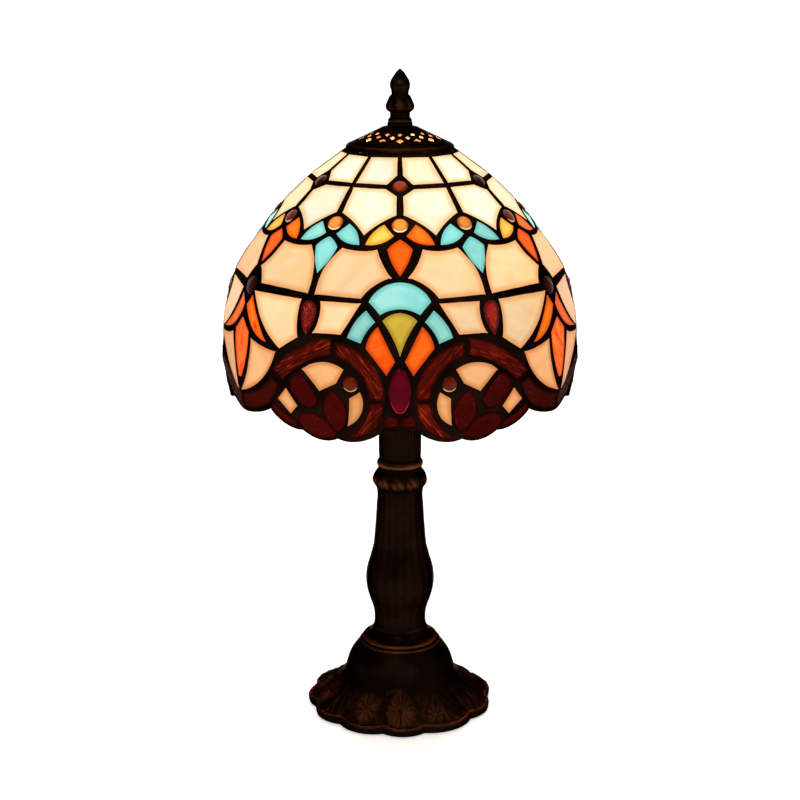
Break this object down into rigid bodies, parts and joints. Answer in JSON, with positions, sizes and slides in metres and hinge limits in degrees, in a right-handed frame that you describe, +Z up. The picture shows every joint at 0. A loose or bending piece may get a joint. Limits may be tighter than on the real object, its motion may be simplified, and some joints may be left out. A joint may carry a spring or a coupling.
{
  "type": "stained glass table lamp",
  "caption": "Table lamp with a leaded stained glass dome shade on a harp, pierced cap and finial, over a cast bronze-finished base with a leaf-shaped foot.",
  "frame": {"origin": "on the table under the middle of the base, at the bottom centre of the bounding box", "axes": "+Z up along the column; the front, with a fan motif on the shade, faces -Y"},
  "size_m": [0.2072, 0.2075, 0.3846],
  "materials": {
    "bronze_casting": "antique bronze paint, worn to copper on the high edges",
    "steel_hardware": "zinc plated",
    "brass": "satin",
    "harp_wire": "lacquered wire",
    "felt": "felt",
    "rubber": "matte",
    "insulator": "glazed",
    "bulb_cap_metal": "satin",
    "bulb_glass": "frosted",
    "solder": "black-brown patina solder",
    "glass_cream": "opalescent",
    "glass_peach": "opalescent",
    "glass_turquoise": "opalescent",
    "glass_yellow": "streaky cathedral",
    "glass_orange": "streaky cathedral",
    "glass_olive": "opalescent",
    "glass_chestnut": "ripple",
    "glass_maroon": "hammered",
    "jewel_amber": "pressed and polished",
    "jewel_red": "pressed, faceted",
    "jewel_ruby": "pressed and polished",
    "jewel_brown": "pressed and polished"
  },
  "bodies": {
    "root": {"base_foot": "bronze_casting", "column": "bronze_casting", "neck": "bronze_casting", "base_cover_plate": "steel_hardware", "felt_pad": "felt", "cord_bushing": "rubber", "threaded_rod": "steel_hardware", "rod_washer": "steel_hardware", "rod_nut": "steel_hardware", "harp": "harp_wire", "harp_saddle": "steel_hardware", "harp_ferrules": "brass", "harp_stud": "brass", "lock_nut": "steel_hardware", "support_spider": "steel_hardware", "socket_cap": "brass", "socket_shell": "brass", "socket_insulator": "insulator", "terminal_screws": "brass", "socket_screw_shell": "brass", "centre_contact": "brass"},
    "bulb_base": {"bulb_tip_contact": "brass", "bulb_insulator": "insulator"},
    "bulb": {"bulb_screw_cap": "bulb_cap_metal", "bulb_glass": "bulb_glass"},
    "cap": {"vented_cap": "bronze_casting"},
    "finial_washer": {"finial_washer": "brass"},
    "finial": {"finial": "bronze_casting", "finial_insert": "brass"},
    "shade": {"rim_ring": "brass", "leading": "solder", "crown_panels_cream": "glass_cream", "shoulder_panels_cream": "glass_cream", "garland_petals_yellow": "glass_yellow", "garland_petals_orange": "glass_orange", "garland_petals_turquoise": "glass_turquoise", "kites_orange": "glass_orange", "kites_turquoise": "glass_turquoise", "body_panels_upper": "glass_peach", "body_panels_lower": "glass_peach", "tulip_side_petals": "glass_orange", "tulip_middle_petals": "glass_orange", "tulip_skirts_cream": "glass_cream", "fan_arcs_turquoise": "glass_turquoise", "fan_wedges_olive": "glass_olive", "fan_quarters_orange": "glass_orange", "scroll_bars_inner": "glass_chestnut", "scroll_bars_outer": "glass_chestnut", "scroll_bars_lower": "glass_chestnut", "swag_bars": "glass_chestnut", "scroll_leaves_maroon": "glass_maroon", "scroll_fillers_cream": "glass_cream", "throat_wedges": "glass_maroon", "crown_jewels": "jewel_amber", "garland_jewels": "jewel_amber", "drop_jewels_red": "jewel_red", "tulip_buds": "jewel_brown", "ruby_cabochons": "jewel_ruby", "scroll_jewels": "jewel_amber"}
  },
  "joints": [
    {"name": "cap_lift", "type": "slide", "parent": "root", "child": "cap", "axis": [0, 0, 1], "range_m": [0, 0.2]},
    {"name": "shade_turn", "type": "hinge", "parent": "cap", "child": "shade", "pos_m": [0, 0, 0.3355], "axis": [0, 0, 1], "continuous": true},
    {"name": "finial_rise", "type": "slide", "parent": "cap", "child": "finial_washer", "axis": [0, 0, 1], "range_m": [0, 0.00801]},
    {"name": "finial_turn", "type": "hinge", "parent": "finial_washer", "child": "finial", "pos_m": [0, 0, 0.36], "axis": [0, 0, 1], "range_deg": [0, 2880]},
    {"name": "bulb_rise", "type": "slide", "parent": "root", "child": "bulb_base", "axis": [0, 0, 1], "range_m": [0, 0.01081]},
    {"name": "bulb_turn", "type": "hinge", "parent": "bulb_base", "child": "bulb", "pos_m": [0, 0, 0.23], "axis": [0, 0, 1], "range_deg": [0, 1080]}
  ],
  "couplings": [
    {"joint": "finial_rise", "follows": "finial_turn", "m_per_rad": 0.00015915},
    {"joint": "bulb_rise", "follows": "bulb_turn", "m_per_rad": 0.00057296}
  ]
}
